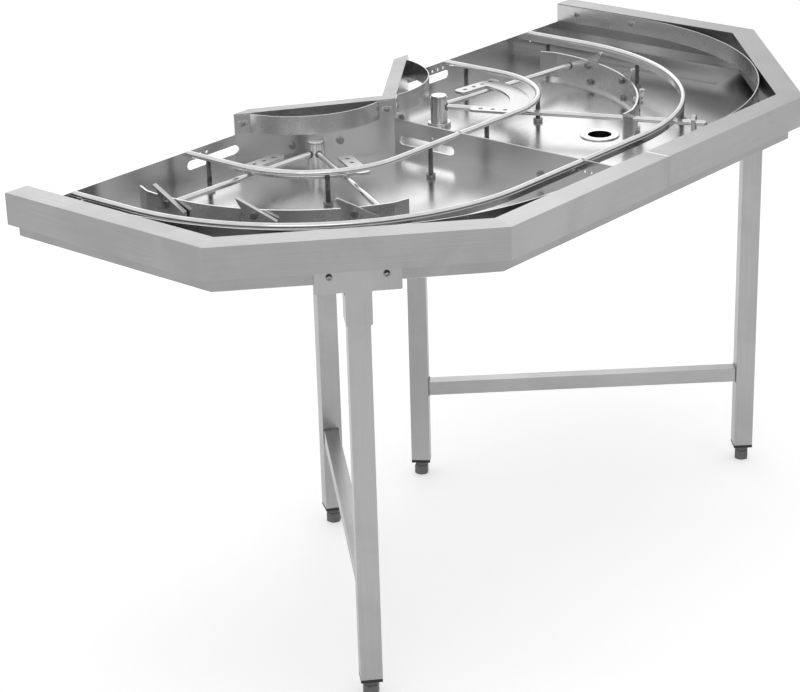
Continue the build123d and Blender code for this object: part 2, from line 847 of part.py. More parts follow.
def save(name, shape):
    solids = shape if isinstance(shape, list) else [shape]
    solids = [s for item in solids for s in item.solids()]
    export_step(solids[0] if len(solids) == 1 else Compound(children=solids), f"parts/{name}.step")


for side in (left, right):
    pieces = {
        "basin": basin(side), "rim": rim(side), "outer_guide": outer_guide(side), "rack_guard": rack_guard(side),
        "guide_screws": guide_screws(side), "outer_rail": outer_rail(side), "inner_rail": inner_rail(side),
        "rail_posts": rail_posts(side), "rail_post_nuts": rail_post_nuts(side), "pivot_post": pivot_post(side),
        "carriage_hub": carriage_hub(side), "carriage_arms": carriage_arms(side), "link_plate": link_plate(side),
        "pawl_carrier": carrier(side), "pawl_bolts": pawl_bolts(side), "pawl_nuts": pawl_nuts(side),
        "inner_leg": leg(side, 0), "outer_leg": leg(side, 1), "crossbar": crossbar(side),
        "leg_brackets": leg_brackets(side), "bracket_bolts": bracket_bolts(side),
        "foot_inserts": foot_inserts(side), "inner_foot": foot(side, 0), "outer_foot": foot(side, 1),
    }
    for number, offset in enumerate(side.pawls, 1):
        pieces[f"pawl_{number}"] = pawl(side, offset)
    for name, shape in pieces.items():
        save(f"{side.name}_{name}", shape)

save("right_striker", striker(right))
save("partition_bolts", partition_bolts())
save("drain_flange", drain_flange())
save("drain_nut", drain_nut())
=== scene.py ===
import json
import math
import bmesh
import bpy
import numpy as np
from mathutils import Matrix, Vector

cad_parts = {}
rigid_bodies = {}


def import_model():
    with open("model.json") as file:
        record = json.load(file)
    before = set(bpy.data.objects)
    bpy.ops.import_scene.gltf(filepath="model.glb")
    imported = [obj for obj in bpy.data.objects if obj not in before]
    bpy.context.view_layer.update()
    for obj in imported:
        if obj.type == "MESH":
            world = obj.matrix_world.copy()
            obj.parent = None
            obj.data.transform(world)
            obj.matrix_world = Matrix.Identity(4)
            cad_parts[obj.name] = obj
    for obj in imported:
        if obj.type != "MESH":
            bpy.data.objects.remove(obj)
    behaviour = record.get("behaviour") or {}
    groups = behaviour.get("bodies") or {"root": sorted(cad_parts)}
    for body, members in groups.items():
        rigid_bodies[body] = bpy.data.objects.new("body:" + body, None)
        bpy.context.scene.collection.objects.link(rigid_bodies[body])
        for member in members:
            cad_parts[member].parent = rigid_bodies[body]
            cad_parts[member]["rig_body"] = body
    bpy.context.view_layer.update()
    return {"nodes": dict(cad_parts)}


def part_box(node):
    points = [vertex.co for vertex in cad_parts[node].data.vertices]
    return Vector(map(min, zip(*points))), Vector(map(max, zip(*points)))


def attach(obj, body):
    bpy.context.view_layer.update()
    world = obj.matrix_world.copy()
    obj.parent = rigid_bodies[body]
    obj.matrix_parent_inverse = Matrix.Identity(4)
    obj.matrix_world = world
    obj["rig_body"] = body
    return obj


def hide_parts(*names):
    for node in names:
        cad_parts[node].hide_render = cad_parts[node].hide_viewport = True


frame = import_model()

nodes = frame["nodes"]
sides = {"left": -1, "right": 1}
scene = bpy.context.scene
print("frame loaded:", len(nodes), "nodes")


# shader groups

def shaderGroup(name, inputs, outputs):
    tree = bpy.data.node_groups.new(name, "ShaderNodeTree")
    for label, kind, value in inputs:
        socket = tree.interface.new_socket(name=label, in_out="INPUT", socket_type=kind)
        socket.default_value = value
    for label, kind in outputs:
        tree.interface.new_socket(name=label, in_out="OUTPUT", socket_type=kind)
    return tree, tree.nodes.new("NodeGroupInput"), tree.nodes.new("NodeGroupOutput")


def addNode(tree, kind, values=None, **settings):
    node = tree.nodes.new(kind)
    for key, value in settings.items():
        setattr(node, key, value)
    for key, value in (values or {}).items():
        node.inputs[key].default_value = value
    return node


def brushGroup():
    # brushing: noise drawn out along the piece, turned about Z for the slanted runs
    tree, into, out = shaderGroup("brushing", [
        ("Turn", "NodeSocketFloat", 0.0), ("Stretch", "NodeSocketVector", (8, 700, 700)),
        ("Depth", "NodeSocketFloat", 0.15), ("Low", "NodeSocketFloat", 0.25), ("High", "NodeSocketFloat", 0.4),
    ], [("Streaks", "NodeSocketFloat"), ("Roughness", "NodeSocketFloat"), ("Normal", "NodeSocketVector")])
    place = addNode(tree, "ShaderNodeTexCoord")
    turn = addNode(tree, "ShaderNodeVectorRotate", rotation_type="Z_AXIS")
    stretch = addNode(tree, "ShaderNodeVectorMath", operation="MULTIPLY")
    streaks = addNode(tree, "ShaderNodeTexNoise", {"Scale": 1.0, "Detail": 3.0, "Roughness": 0.65})
    spread = addNode(tree, "ShaderNodeMapRange", {"From Min": 0.3, "From Max": 0.7})
    bump = addNode(tree, "ShaderNodeBump", {"Distance": 0.0004})
    tree.links.new(place.outputs["Object"], turn.inputs["Vector"])
    tree.links.new(into.outputs["Turn"], turn.inputs["Angle"])
    tree.links.new(turn.outputs[0], stretch.inputs[0])
    tree.links.new(into.outputs["Stretch"], stretch.inputs[1])
    tree.links.new(stretch.outputs[0], streaks.inputs["Vector"])
    tree.links.new(streaks.outputs["Fac"], spread.inputs["Value"])
    tree.links.new(into.outputs["Low"], spread.inputs["To Min"])
    tree.links.new(into.outputs["High"], spread.inputs["To Max"])
    tree.links.new(streaks.outputs["Fac"], bump.inputs["Height"])
    tree.links.new(into.outputs["Depth"], bump.inputs["Strength"])
    tree.links.new(streaks.outputs["Fac"], out.inputs["Streaks"])
    tree.links.new(spread.outputs[0], out.inputs["Roughness"])
    tree.links.new(bump.outputs[0], out.inputs["Normal"])
    return tree


def smudgeGroup():
    # wiping marks and rolling clouds: a slow noise that shifts tone and gloss a little
    tree, into, out = shaderGroup("smudges", [
        ("Color", "NodeSocketColor", (0.6, 0.6, 0.6, 1)), ("Dark", "NodeSocketColor", (0.5, 0.5, 0.5, 1)),
        ("Scale", "NodeSocketFloat", 6.0), ("Amount", "NodeSocketFloat", 0.5), ("Roughness", "NodeSocketFloat", 0.3),
        ("Spread", "NodeSocketFloat", 0.12), ("Streaks", "NodeSocketFloat", 0.5), ("Grain", "NodeSocketFloat", 0.4),
    ], [("Color", "NodeSocketColor"), ("Roughness", "NodeSocketFloat")])
    place = addNode(tree, "ShaderNodeTexCoord")
    cloud = addNode(tree, "ShaderNodeTexNoise", {"Detail": 4.0, "Roughness": 0.6, "Distortion": 0.8})
    ramp = addNode(tree, "ShaderNodeMapRange", {"From Min": 0.35, "From Max": 0.68}, interpolation_type="SMOOTHSTEP")
    weight = addNode(tree, "ShaderNodeMath", operation="MULTIPLY")
    centre = addNode(tree, "ShaderNodeMath", {1: 0.5}, operation="SUBTRACT")
    total = addNode(tree, "ShaderNodeMath", operation="MULTIPLY_ADD")
    mix = addNode(tree, "ShaderNodeMix", data_type="RGBA", clamp_factor=False)
    shift = addNode(tree, "ShaderNodeMath", operation="MULTIPLY_ADD")
    tree.links.new(place.outputs["Object"], cloud.inputs["Vector"])
    tree.links.new(into.outputs["Scale"], cloud.inputs["Scale"])
    tree.links.new(cloud.outputs["Fac"], ramp.inputs["Value"])
    tree.links.new(ramp.outputs[0], weight.inputs[0])
    tree.links.new(into.outputs["Amount"], weight.inputs[1])
    tree.links.new(into.outputs["Streaks"], centre.inputs[0])
    tree.links.new(centre.outputs[0], total.inputs[0])
    tree.links.new(into.outputs["Grain"], total.inputs[1])
    tree.links.new(weight.outputs[0], total.inputs[2])
    tree.links.new(total.outputs[0], mix.inputs[0])
    tree.links.new(into.outputs["Color"], mix.inputs[6])
    tree.links.new(into.outputs["Dark"], mix.inputs[7])
    tree.links.new(weight.outputs[0], shift.inputs[0])
    tree.links.new(into.outputs["Spread"], shift.inputs[1])
    tree.links.new(into.outputs["Roughness"], shift.inputs[2])
    tree.links.new(mix.outputs[2], out.inputs["Color"])
    tree.links.new(shift.outputs[0], out.inputs["Roughness"])
    return tree


brushing = brushGroup()
smudges = smudgeGroup()


def placeGroup(tree, group, values):
    node = tree.nodes.new("ShaderNodeGroup")
    node.node_tree = group
    for key, value in values.items():
        node.inputs[key].default_value = value
    return node


def surface(name, brushValues, wipeValues):
    # a material with the wiping marks laid over the brushing
    material = bpy.data.materials.new(name)
    material.use_nodes = True
    tree = material.node_tree
    shader = tree.nodes["Principled BSDF"]
    brush = placeGroup(tree, brushing, brushValues)
    wipe = placeGroup(tree, smudges, wipeValues)
    tree.links.new(brush.outputs["Roughness"], wipe.inputs["Roughness"])
    tree.links.new(wipe.outputs["Color"], shader.inputs["Base Color"])
    tree.links.new(wipe.outputs["Roughness"], shader.inputs["Roughness"])
    tree.links.new(brush.outputs["Normal"], shader.inputs["Normal"])
    return material, brush, wipe


steelLook = {"blue": 1.005, "glossSpread": 0.06}


def steel(name, color, dark, turn=0.0, stretch=(5, 600, 600), depth=0.04, rough=(0.26, 0.34),
          cloud=5.0, amount=0.5, grain=1.1):
    blue = steelLook["blue"]
    material, brush, wipe = surface(name, {
        "Turn": turn, "Stretch": stretch, "Depth": depth, "Low": rough[0], "High": rough[1],
    }, {
        "Color": (color, color, color * blue, 1), "Dark": (dark, dark, dark * blue, 1),
        "Scale": cloud, "Amount": amount, "Spread": steelLook["glossSpread"], "Grain": grain,
    })
    tree = material.node_tree
    tree.nodes["Principled BSDF"].inputs["Metallic"].default_value = 1.0
    tree.links.new(brush.outputs["Streaks"], wipe.inputs["Streaks"])
    return material


plasticLook = {"stretch": (900, 900, 900), "depth": 0.25, "glossier": 0.06, "duller": 0.08, "dark": 0.6,
               "cloud": 60.0, "amount": 0.6}


def plastic(name, color, rough):
    look = plasticLook
    return surface(name, {
        "Stretch": look["stretch"], "Depth": look["depth"],
        "Low": rough - look["glossier"], "High": rough + look["duller"],
    }, {
        "Color": (*color, 1), "Dark": (*[c * look["dark"] for c in color], 1),
        "Scale": look["cloud"], "Amount": look["amount"],
    })[0]


slantedRun = {"back": 350, "across": 380}
slant = math.atan2(slantedRun["back"], slantedRun["across"])
smoothSteel = {"depth": 0.0, "amount": 0.6, "grain": 0.4}
materials = {
    "alongX": steel("brushedAlongX", 0.39, 0.32),
    "alongY": steel("brushedAlongY", 0.37, 0.3, stretch=(600, 5, 600)),
    "slantLeft": steel("brushedSlantLeft", 0.36, 0.29, turn=slant),
    "slantRight": steel("brushedSlantRight", 0.38, 0.31, turn=-slant),
    "upright": steel("brushedUpright", 0.4, 0.33, stretch=(600, 600, 5), rough=(0.28, 0.36)),
    # painted shade: a darker brushed steel for the basins' outer walls under the rim
    "shadedSkirt": steel("brushedSkirtPaintedShade", 0.34, 0.28, stretch=(8, 8, 500)),
    "sheet": steel("millFinish", 0.6, 0.53, stretch=(3, 260, 260), rough=(0.2, 0.23), cloud=2.5, **smoothSteel),
    "cutSheet": steel("cutSheet", 0.58, 0.5, stretch=(16, 16, 16), rough=(0.23, 0.27), cloud=7.0, **smoothSteel),
    "bar": steel("polishedBar", 0.7, 0.58, stretch=(120, 120, 120), rough=(0.1, 0.14), cloud=16.0, **smoothSteel),
    "bolt": steel("boltSteel", 0.34, 0.18, stretch=(900, 900, 900), rough=(0.2, 0.3), cloud=90.0, amount=0.7),
    "rod": steel("threadedRod", 0.16, 0.06, stretch=(500, 500, 500), depth=0.03, rough=(0.2, 0.3),
                 cloud=60.0, amount=0.9),
    "weld": steel("weldBead", 0.2, 0.07, stretch=(1500, 1500, 1500), depth=0.2, rough=(0.3, 0.5),
                  cloud=70.0, amount=0.9),
    "black": plastic("blackPlastic", (0.012, 0.012, 0.013), 0.5),
    "grey": plastic("greyPlastic", (0.2, 0.2, 0.205), 0.42),
}
print("materials:", len(materials))


# mesh helpers

# distances in metres, angles in degrees
meshLook = {"merge": 5e-6, "flat": 0.6, "onPlane": 1e-6, "edgeAngle": 40, "smoothAngle": 60, "flatWeight": 80}


def bodyOf(name):
    return nodes[name]["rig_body"]


def middleOf(name):
    low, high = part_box(name)
    return (low[0] + high[0]) / 2, (low[1] + high[1]) / 2


def mergedMesh(name, cuts=()):
    # the node's triangles as one closed mesh, flat faces joined, then cut along the given planes
    bm = bmesh.new()
    bm.from_mesh(nodes[name].data)
    bmesh.ops.remove_doubles(bm, verts=bm.verts, dist=meshLook["merge"])
    bmesh.ops.dissolve_limit(bm, angle_limit=math.radians(meshLook["flat"]), verts=bm.verts, edges=bm.edges)
    for point, normal in cuts:
        parts = bm.verts[:] + bm.edges[:] + bm.faces[:]
        bmesh.ops.bisect_plane(bm, geom=parts, dist=meshLook["onPlane"], plane_co=point, plane_no=normal)
    bm.verts.index_update()
    mesh = bpy.data.meshes.new(name)
    mesh.from_pydata([v.co.copy() for v in bm.verts], [], [[v.index for v in f.verts] for f in bm.faces])
    bm.free()
    return mesh


def newPiece(name, mesh):
    piece = bpy.data.objects.new(name, mesh)
    scene.collection.objects.link(piece)
    return piece


def baked(piece):
    graph = bpy.context.evaluated_depsgraph_get()
    mesh = bpy.data.meshes.new_from_object(piece.evaluated_get(graph))
    piece.modifiers.clear()
    piece.data = mesh


def smooth(piece, angle=32):
    piece.data.shade_smooth()
    piece.data.set_sharp_from_angle(angle=math.radians(angle))


def dress(piece, body, slot, *replaced):
    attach(piece, body)
    if replaced:
        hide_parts(*replaced)


def breakEdges(piece, width, segments, angle):
    bevel = piece.modifiers.new("edges", "BEVEL")
    bevel.width, bevel.segments = width, segments
    bevel.limit_method, bevel.angle_limit = "ANGLE", math.radians(angle)
    baked(piece)


def rounded(name, width, finish, slot, segments=2, cuts=()):
    # the node's own shape with softly broken edges
    piece = newPiece(name + "_finished", mergedMesh(name, cuts))
    breakEdges(piece, width, segments, meshLook["edgeAngle"])
    smooth(piece, meshLook["smoothAngle"])
    flatten = piece.modifiers.new("flat faces stay flat", "WEIGHTED_NORMAL")
    flatten.keep_sharp, flatten.weight = True, meshLook["flatWeight"]
    baked(piece)
    piece.data.materials.clear()
    for key in finish if isinstance(finish, list) else [finish]:
        piece.data.materials.append(materials[key])
    dress(piece, bodyOf(name), slot, name)
    return piece


def paint(name, finish):
    nodes[name].data.materials.clear()
    nodes[name].data.materials.append(materials[finish])


# how uneven the points lie, where an end begins, and how much wider the head end is
islandLook = {"uneven": 1e-5, "endShare": 0.8, "wider": 1e-4}


def islandsOf(name):
    # each solid of a node as its corner points, middle, axis and ends along the axis, head end last
    bm = bmesh.new()
    bm.from_mesh(nodes[name].data)
    bmesh.ops.remove_doubles(bm, verts=bm.verts, dist=meshLook["merge"])
    left, found = set(bm.verts), []
    while left:
        front = [left.pop()]
        island = list(front)
        while front:
            for edge in front.pop().link_edges:
                for v in edge.verts:
                    if v in left:
                        left.remove(v)
                        front.append(v)
                        island.append(v)
        found.append(np.array([v.co[:] for v in island]))
    bm.free()
    result = []
    for points in found:
        values, vectors = np.linalg.eigh(np.cov((points - points.mean(0)).T))
        axis = vectors[:, 2] if values[1] - values[0] < values[2] - values[1] else vectors[:, 0]
        along = (points - points.mean(0)) @ axis
        if abs(along.max() + along.min()) > islandLook["uneven"] and np.sum(along > 0) < np.sum(along < 0):
            axis, along = -axis, -along
        middle = points.mean(0) + axis * (along.max() + along.min()) / 2
        across = points - middle - np.outer((points - middle) @ axis, axis)
        middle = middle + (across.max(0) + across.min(0)) / 2
        half = (along.max() - along.min()) / 2
        radial = np.linalg.norm(points - middle - np.outer((points - middle) @ axis, axis), axis=1)
        along = (points - middle) @ axis
        endZone = half * islandLook["endShare"]
        headEnd, otherEnd = radial[along > endZone].max(initial=0), radial[along < -endZone].max(initial=0)
        if headEnd < otherEnd - islandLook["wider"]:
            axis = -axis
        result.append({"middle": middle, "axis": axis, "half": half, "radius": radial.max()})
    return sorted(result, key=lambda i: tuple(i["middle"].round(4)))


# Geometry Nodes: one tree places fasteners, one draws threads and weld beads along lines

def geometryTree(name, inputs):
    tree = bpy.data.node_groups.new(name, "GeometryNodeTree")
    tree.interface.new_socket(name="Geometry", in_out="INPUT", socket_type="NodeSocketGeometry")
    for label, kind, value in inputs:
        socket = tree.interface.new_socket(name=label, in_out="INPUT", socket_type=kind)
        if value is not None:
            socket.default_value = value
    tree.interface.new_socket(name="Geometry", in_out="OUTPUT", socket_type="NodeSocketGeometry")
    return tree, tree.nodes.new("NodeGroupInput"), tree.nodes.new("NodeGroupOutput")


def fastenerTree():
    tree, into, out = geometryTree("fastenersOnPoints", [
        ("Fastener", "NodeSocketObject", None), ("Seed", "NodeSocketInt", 7), ("Finish", "NodeSocketMaterial", None)])
    link = tree.links.new
    facing = tree.nodes.new("GeometryNodeInputNamedAttribute")
    facing.data_type = "FLOAT_VECTOR"
    facing.inputs["Name"].default_value = "facing"
    align = addNode(tree, "FunctionNodeAlignRotationToVector", axis="Z")
    shape = tree.nodes.new("GeometryNodeObjectInfo")
    put = tree.nodes.new("GeometryNodeInstanceOnPoints")
    spin = addNode(tree, "FunctionNodeRandomValue", data_type="FLOAT")
    spin.inputs[3].default_value = math.tau
    pack = tree.nodes.new("ShaderNodeCombineXYZ")
    turn = tree.nodes.new("GeometryNodeRotateInstances")
    real = tree.nodes.new("GeometryNodeRealizeInstances")
    finish = tree.nodes.new("GeometryNodeSetMaterial")
    link(into.outputs["Fastener"], shape.inputs["Object"])
    link(facing.outputs["Attribute"], align.inputs["Vector"])
    link(into.outputs["Geometry"], put.inputs["Points"])
    link(shape.outputs["Geometry"], put.inputs["Instance"])
    link(align.outputs["Rotation"], put.inputs["Rotation"])
    link(into.outputs["Seed"], spin.inputs["Seed"])
    link(spin.outputs[1], pack.inputs["Z"])
    link(put.outputs["Instances"], turn.inputs["Instances"])
    link(pack.outputs[0], turn.inputs["Rotation"])
    link(turn.outputs[0], real.inputs[0])
    link(real.outputs[0], finish.inputs["Geometry"])
    link(into.outputs["Finish"], finish.inputs["Material"])
    link(finish.outputs[0], out.inputs[0])
    return tree


def rippleTree():
    # a round bar along each line, its radius going up and down once in every pitch
    tree, into, out = geometryTree("rippledBar", [
        ("Radius", "NodeSocketFloat", 0.005), ("Pitch", "NodeSocketFloat", 0.0015),
        ("Depth", "NodeSocketFloat", 0.0008), ("Sides", "NodeSocketInt", 12),
        ("Finish", "NodeSocketMaterial", None)])
    link = tree.links.new
    curve = tree.nodes.new("GeometryNodeMeshToCurve")
    even = addNode(tree, "GeometryNodeResampleCurve", mode="LENGTH")
    halve = addNode(tree, "ShaderNodeMath", {1: 0.5}, operation="MULTIPLY")
    index = tree.nodes.new("GeometryNodeInputIndex")
    odd = addNode(tree, "ShaderNodeMath", {1: 2.0}, operation="MODULO")
    drop = addNode(tree, "ShaderNodeMath", operation="MULTIPLY")
    radius = addNode(tree, "ShaderNodeMath", operation="SUBTRACT")
    size = tree.nodes.new("GeometryNodeSetCurveRadius")
    circle = tree.nodes.new("GeometryNodeCurvePrimitiveCircle")
    circle.inputs["Radius"].default_value = 1.0
    tube = tree.nodes.new("GeometryNodeCurveToMesh")
    tube.inputs["Fill Caps"].default_value = True
    real = tree.nodes.new("GeometryNodeRealizeInstances")
    finish = tree.nodes.new("GeometryNodeSetMaterial")
    link(into.outputs["Geometry"], curve.inputs["Mesh"])
    link(into.outputs["Pitch"], halve.inputs[0])
    link(curve.outputs[0], even.inputs["Curve"])
    link(halve.outputs[0], even.inputs["Length"])
    link(index.outputs[0], odd.inputs[0])
    link(odd.outputs[0], drop.inputs[0])
    link(into.outputs["Depth"], drop.inputs[1])
    link(into.outputs["Radius"], radius.inputs[0])
    link(drop.outputs[0], radius.inputs[1])
    link(even.outputs[0], size.inputs["Curve"])
    link(radius.outputs[0], size.inputs["Radius"])
    link(into.outputs["Sides"], circle.inputs["Resolution"])
    link(size.outputs[0], tube.inputs["Curve"])
    link(circle.outputs[0], tube.inputs["Profile Curve"])
    if "Scale" in tube.inputs:
        link(radius.outputs[0], tube.inputs["Scale"])
    link(tube.outputs[0], real.inputs[0])
    link(real.outputs[0], finish.inputs["Geometry"])
    link(into.outputs["Finish"], finish.inputs["Material"])
    link(finish.outputs[0], out.inputs[0])
    return tree


trees = {"fasteners": fastenerTree(), "ripple": rippleTree()}


def grown(name, mesh, tree, values):
    # runs a tree on a small mesh and keeps the result as a plain mesh
    piece = newPiece(name, mesh)
    modifier = piece.modifiers.new("grow", "NODES")
    modifier.node_group = tree
    for item in tree.interface.items_tree:
        if item.item_type == "SOCKET" and item.in_out == "INPUT" and item.name in values:
            modifier[item.identifier] = values[item.name]
    bpy.context.view_layer.update()
    baked(piece)
    smooth(piece, 40)
    return piece


def pointMesh(name, points, facing):
    mesh = bpy.data.meshes.new(name)
    mesh.from_pydata([tuple(p) for p in points], [], [])
    layer = mesh.attributes.new("facing", "FLOAT_VECTOR", "POINT")
    layer.data.foreach_set("vector", np.array(facing, np.float32).ravel())
    return mesh


def lineMesh(name, lines, closed=False):
    points, edges = [], []
    for line in lines:
        first = len(points)
        points += [tuple(p) for p in line]
        edges += [(first + i, first + i + 1) for i in range(len(line) - 1)]
        if closed:
            edges.append((len(points) - 1, first))
    mesh = bpy.data.meshes.new(name)
    mesh.from_pydata(points, edges, [])
    return mesh


# shares of half the flats: round ring of a chamfer, flat top of a hexagon head; and how steeply a chamfer falls
hexLook = {"ring": 0.96, "top": 0.7, "fall": 0.5}


def turned(name, rings, closed=False, steps=24):
    # rings of (kind, radius, height): "round", "hex" measured over half the flats, or "chamfer", a hexagon that
    # drops away from the round ring beside it
    points, faces = [], []
    middle = rings[-1][2] / 2 + rings[0][2] / 2
    for kind, radius, height in rings:
        for k in range(steps):
            angle = math.tau * k / steps
            reach = radius
            if kind != "round":
                reach = radius / math.cos((angle + math.pi / 6) % (math.pi / 3) - math.pi / 6)
            fall = hexLook["fall"] * (reach - hexLook["ring"] * radius) * (1 if height > middle else -1)
            z = height - (fall if kind == "chamfer" else 0)
            points.append((reach * math.cos(angle), reach * math.sin(angle), z))
    count = len(rings)
    for r in range(count if closed else count - 1):
        a, b = r * steps, (r + 1) % count * steps
        faces += [(a + k, a + (k + 1) % steps, b + (k + 1) % steps, b + k) for k in range(steps)]
    if not closed:
        faces += [tuple(reversed(range(steps))), tuple(range((count - 1) * steps, count * steps))]
    mesh = bpy.data.meshes.new(name)
    mesh.from_pydata(points, [], faces)
    bm = bmesh.new()
    bm.from_mesh(mesh)
    bmesh.ops.recalc_face_normals(bm, faces=bm.faces)
    bm.to_mesh(mesh)
    bm.free()
    return mesh


def nutShape(name, flats, height, bore):
    f, h = flats / 2, height / 2
    ring = f * hexLook["ring"]
    return turned(name, [("round", bore, h), ("round", ring, h), ("chamfer", f, h), ("chamfer", f, -h),
                         ("round", ring, -h), ("round", bore, -h)], closed=True)


# the dome's rings are shares of the head's radius and height
buttonLook = {"depth": 0.55, "lip": 0.0002, "mouth": 0.68, "dome": ((0.8, 0.22), (0.96, 0.6), (1, 1))}


def buttonShape(name, radius, height, socket):
    # domed head with a hexagon socket; its top is at zero
    rings = [("hex", socket / 2, -height * buttonLook["depth"]), ("hex", socket / 2, -buttonLook["lip"]),
             ("round", socket * buttonLook["mouth"], 0)]
    rings += [("round", radius * wide, -height * down) for wide, down in buttonLook["dome"]]
    return turned(name, rings)


def hexHeadShape(name, flats, height):
    f = flats / 2
    return turned(name, [("round", f * hexLook["top"], 0), ("round", f * hexLook["ring"], 0),
                         ("chamfer", f, 0), ("hex", f, -height)])


def placeFasteners(name, shape, places, body, slot, finish, seed):
    # places are (point, direction) pairs
    template = bpy.data.objects.new("template", shape)
    scene.collection.objects.link(template)
    mesh = pointMesh(name, [p for p, _ in places], [d for _, d in places])
    piece = grown(name, mesh, trees["fasteners"], {"Fastener": template, "Seed": seed, "Finish": materials[finish]})
    bpy.data.objects.remove(template)
    dress(piece, body, slot)
    return piece


def ripple(name, lines, body, slot, finish, radius, pitch, depth, sides=12, closed=False):
    values = {"Radius": radius, "Pitch": pitch, "Depth": depth, "Sides": sides, "Finish": materials[finish]}
    piece = grown(name, lineMesh(name, lines, closed), trees["ripple"], values)
    dress(piece, body, slot)
    return piece


def ends(island):
    reach = island["axis"] * island["half"]
    return island["middle"] - reach, island["middle"] + reach


# rims: folded channel with mitred corners, brushed along each run

# a mitre runs from the outer corner x0, y0 inwards to x1, y1, on the left side
rimLook = {
    "edge": 0.0018, "segments": 3,
    "sideMitre": (-0.850, -0.070, -0.800, -0.0481), "frontMitre": (-0.470, -0.420, -0.4504, -0.370),
}


def mitrePlane(key, s):
    x0, y0, x1, y1 = rimLook[key]
    return Vector((-s * x0, y0, 0)), Vector((y1 - y0, (x1 - x0) * s, 0)).normalized()


def finishRim(side):
    s = sides[side]
    planes = [mitrePlane(key, s) for key in ("sideMitre", "frontMitre")]
    finishes = ["alongX", "alongY", "slantLeft" if side == "left" else "slantRight"]
    piece = rounded(f"{side}_rim", rimLook["edge"], finishes, "stainless_sheet", rimLook["segments"], planes)
    for face in piece.data.polygons:
        pastSide, pastFront = [(face.center - point).dot(normal) * s > 0 for point, normal in planes]
        if pastSide:
            face.material_index = 1
        elif pastFront:
            face.material_index = 2


for side in sides:
    finishRim(side)
print("rims done")


# basins and other sheet metal

# width and segments of the broken edge, finish
sheetLook = {
    "basin": (0.0006, 2, "sheet"), "outer_guide": (0.0005, 2, "cutSheet"), "rack_guard": (0.0005, 2, "cutSheet"),
    "link_plate": (0.0009, 2, "cutSheet"), "pawl_carrier": (0.0009, 2, "cutSheet"),
    "leg_brackets": (0.0009, 3, "upright"), "pawl_1": (0.0006, 2, "cutSheet"), "pawl_2": (0.0006, 2, "cutSheet"),
    "pawl_3": (0.0006, 2, "cutSheet"), "inner_leg": (0.0025, 3, "upright"), "outer_leg": (0.0025, 3, "upright"),
    "crossbar": (0.002, 2, "upright"),
}
crossbarLook = {"color": 0.4, "dark": 0.33}
outsideLook = {"wall": 0.5, "flange": 0.9, "leastArea": 1e-4}
strikerEdge = 0.0012


def brushAlong(bar, side):
    # the crossbar's grain runs from leg to leg
    (x0, y0), (x1, y1) = [middleOf(f"{side}_{leg}_leg") for leg in ("inner", "outer")]
    turn = -math.atan2(y1 - y0, x1 - x0)
    bar.data.materials[0] = steel(f"brushedCrossbar_{side}", crossbarLook["color"], crossbarLook["dark"], turn=turn)


def paintShadedOutside(basin):
    # the walls' outer faces take a darker brushed steel, painted shade for the shade under the rim; the flanges on
    # top take the same darker steel
    basin.data.materials.append(materials["shadedSkirt"])
    points = np.array([v.co[:] for v in basin.data.vertices])
    middle = Vector((points.max(0) + points.min(0)) / 2)
    for face in basin.data.polygons:
        outer = abs(face.normal.z) < outsideLook["wall"] and face.normal.dot(face.center - middle) > 0
        level = face.normal.z > outsideLook["flange"] and face.area > outsideLook["leastArea"]
        if outer or level and face.center.z > middle.z:
            face.material_index = 1


for side in sides:
    for part, (edge, segments, finish) in sheetLook.items():
        piece = rounded(f"{side}_{part}", edge, finish, "stainless_sheet", segments)
        if part == "basin":
            paintShadedOutside(piece)
        if part == "crossbar":
            brushAlong(piece, side)
rounded("right_striker", strikerEdge, "cutSheet", "stainless_sheet")
print("sheet metal done")


# bars and the outlet; rails, hubs and arms keep their CAD shape

barLook = {"parts": ("outer_rail", "inner_rail", "carriage_hub", "carriage_arms"), "pivotEdge": 0.0006}
outletLook = {"flangeEdge": 0.0008, "nutEdge": 0.001, "boreTilt": 0.7}


def paintBoreShade(flange, name):
    # painted shade: the bore's inward faces take the dark threaded-rod steel, so the outlet's hole reads dark
    flange.data.materials.append(materials["rod"])
    x, y = middleOf(name)
    for face in flange.data.polygons:
        out = Vector((face.center.x - x, face.center.y - y, 0))
        if abs(face.normal.z) < outletLook["boreTilt"] and face.normal.dot(out) < 0:
            face.material_index = 1


for side in sides:
    for part in barLook["parts"]:
        paint(f"{side}_{part}", "bar")
    rounded(f"{side}_pivot_post", barLook["pivotEdge"], "bar", "polished_steel")
paintBoreShade(rounded("drain_flange", outletLook["flangeEdge"], "bar", "polished_steel"), "drain_flange")
rounded("drain_nut", outletLook["nutEdge"], "bolt", "polished_steel")
print("bars done")


# rail posts: threaded rod with a nut on each face of the floor

postLook = {"radius": 0.005, "pitch": 0.0016, "depth": 0.0007, "sides": 16, "nut": (0.017, 0.008, 0.0049), "seed": 11}


def makePosts(side):
    lines = [ends(i) for i in islandsOf(f"{side}_rail_posts")]
    rods = ripple(f"{side}_threaded_posts", lines, "frame", "fasteners", "rod", postLook["radius"],
                  postLook["pitch"], postLook["depth"], postLook["sides"])
    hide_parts(f"{side}_rail_posts")
    shape = nutShape("postNut", *postLook["nut"])
    places = [(i["middle"], i["axis"]) for i in islandsOf(f"{side}_rail_post_nuts")]
    nuts = placeFasteners(f"{side}_post_nuts", shape, places, "frame", "fasteners", "bolt", postLook["seed"])
    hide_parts(f"{side}_rail_post_nuts")


for side in sides:
    makePosts(side)
print("posts done")


# screws and bolts: heads by their kind, threaded tails and nuts

screwLook = {
    "guide_screws": {"head": 0.0055, "height": 0.0035, "socket": 0.004, "nut": (0.010, 0.005), "shank": 0.003,
                     "oval": (0.022, 0.013, 0.001)},
    "bracket_bolts": {"head": 0.006, "height": 0.005, "socket": 0.005, "nut": (0.013, 0.006), "shank": 0.004},
}
threadLook = {"pitch": 0.001, "depth": 0.0004, "sides": 12, "boreShare": 0.98}
headLook = {"hexShare": 1.8, "seed": 3, "nutSeed": 5, "nutTolerance": 3e-4}
